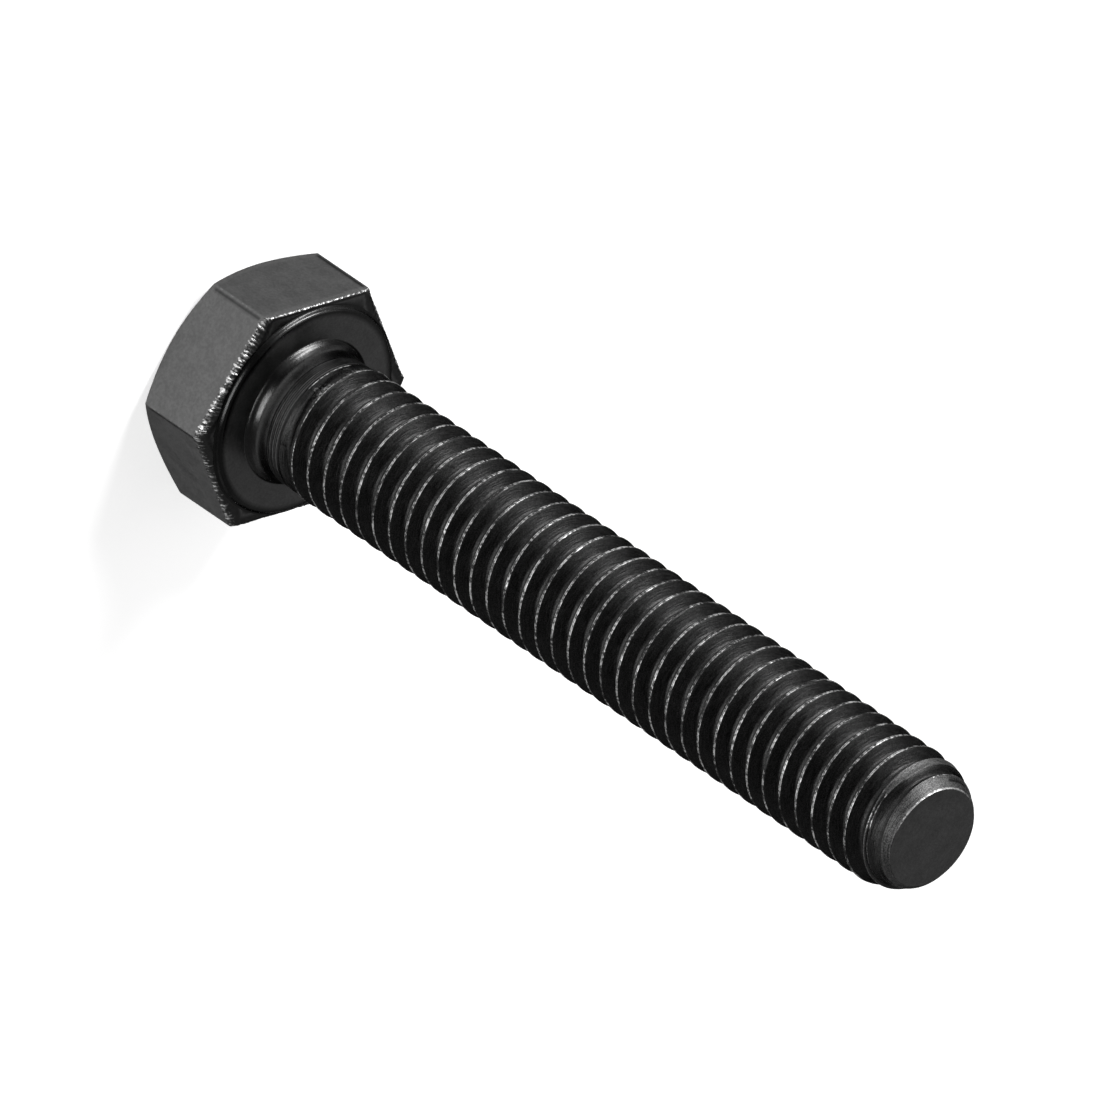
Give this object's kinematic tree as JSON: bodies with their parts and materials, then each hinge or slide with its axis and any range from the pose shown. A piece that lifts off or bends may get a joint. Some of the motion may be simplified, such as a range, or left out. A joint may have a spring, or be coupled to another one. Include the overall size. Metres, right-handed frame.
{
  "type": "hex bolt",
  "caption": "Fully threaded hexagon-head bolt in black-oxide steel, with a washer face and fillet under the chamfered head and a chamfered flat tip.",
  "frame": {"origin": "centre of the head's flat top face, which is the lowest face when the bolt stands on its head", "axes": "+Z along the shank, from the head to the tip; +X through a corner of the hexagon; +Y through the middle of a wrench flat"},
  "size_m": [0.0112, 0.0096, 0.0426],
  "materials": {
    "black_oxide_steel": "satin black oxide, bright where crests and edges are rubbed"
  },
  "bodies": {
    "root": {"hex_bolt": "black_oxide_steel"}
  },
  "joints": []
}
